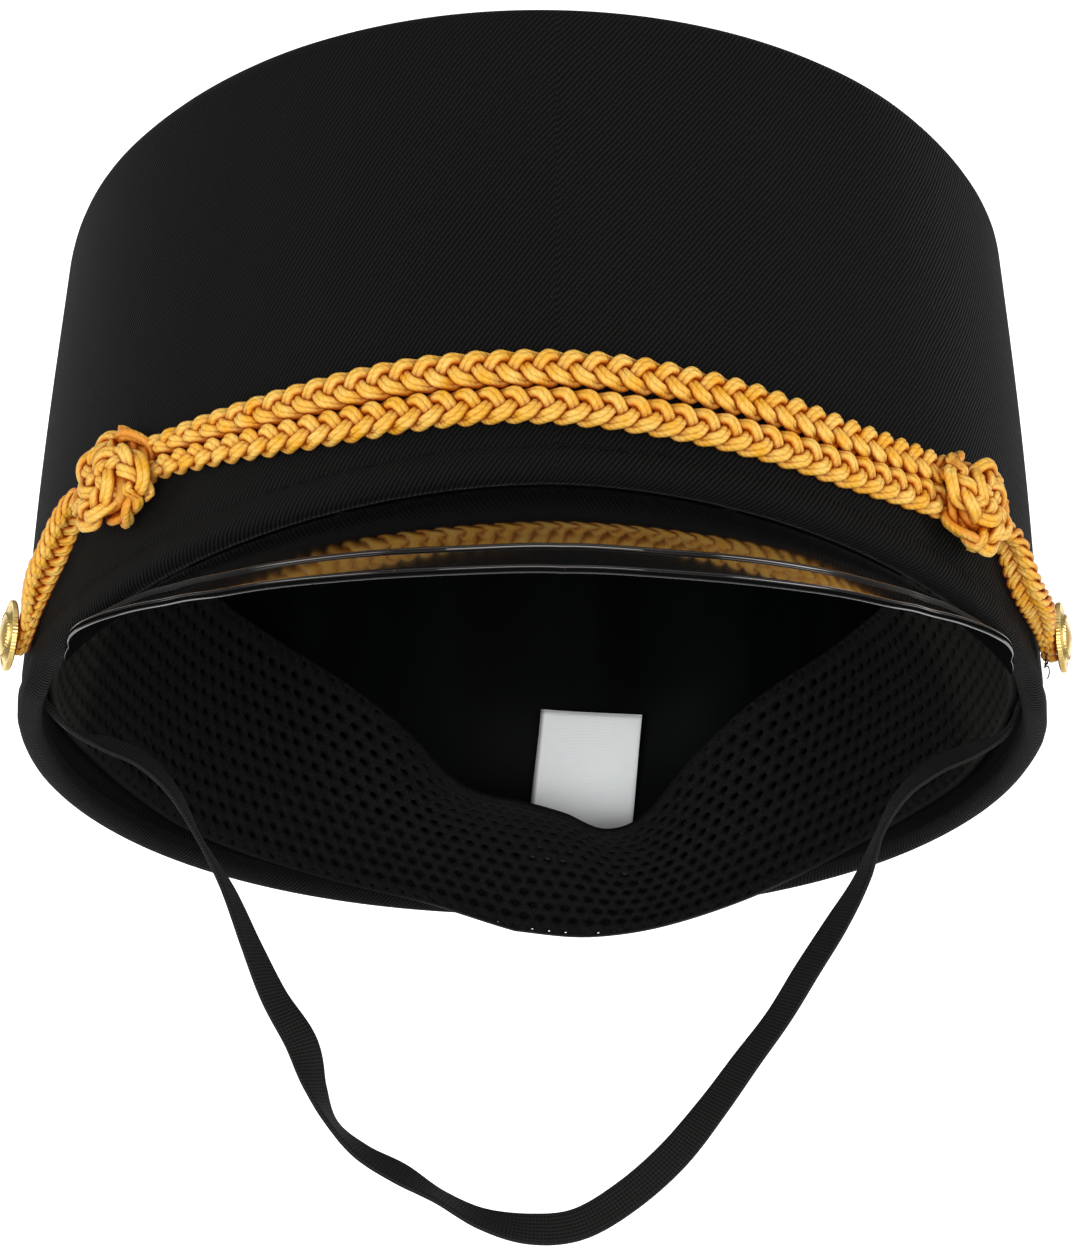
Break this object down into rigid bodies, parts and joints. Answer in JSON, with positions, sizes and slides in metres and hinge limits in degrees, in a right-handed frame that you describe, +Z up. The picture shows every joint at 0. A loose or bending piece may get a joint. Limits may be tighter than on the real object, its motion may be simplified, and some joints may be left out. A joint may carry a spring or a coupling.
{
  "type": "railroad cap",
  "caption": "Tall black twill cap with a flat top, glossy patent peak, double gold braid between knots, side buttons, net sweatband and an elastic chin strap.",
  "frame": {"origin": "centre of the head opening, level with the lowest edge of the rim", "axes": "+Z up through the crown, -Y to the front where the peak is, +X to the wearer's left"},
  "size_m": [0.1893, 0.2358, 0.1846],
  "materials": {
    "black_twill": "matt diagonal twill",
    "lining_cloth": "smooth satin-faced cloth",
    "black_net": "matt spacer net with round holes",
    "white_satin": "soft satin tape",
    "black_patent": "mirror gloss",
    "gold_yarn": "lustrous plied yarn",
    "gold_metal": "bright gilt",
    "black_elastic": "ribbed flat elastic"
  },
  "bodies": {
    "root": {"crown_side": "black_twill", "crown_top": "black_twill", "lining": "lining_cloth", "sweatband": "black_net", "size_label": "white_satin", "peak": "black_patent", "braid_upper": "gold_yarn", "braid_lower": "gold_yarn", "knot_left": "gold_yarn", "knot_right": "gold_yarn", "braid_end_left": "gold_yarn", "braid_end_right": "gold_yarn", "button_left": "gold_metal", "button_right": "gold_metal", "chin_strap": "black_elastic"}
  },
  "joints": []
}
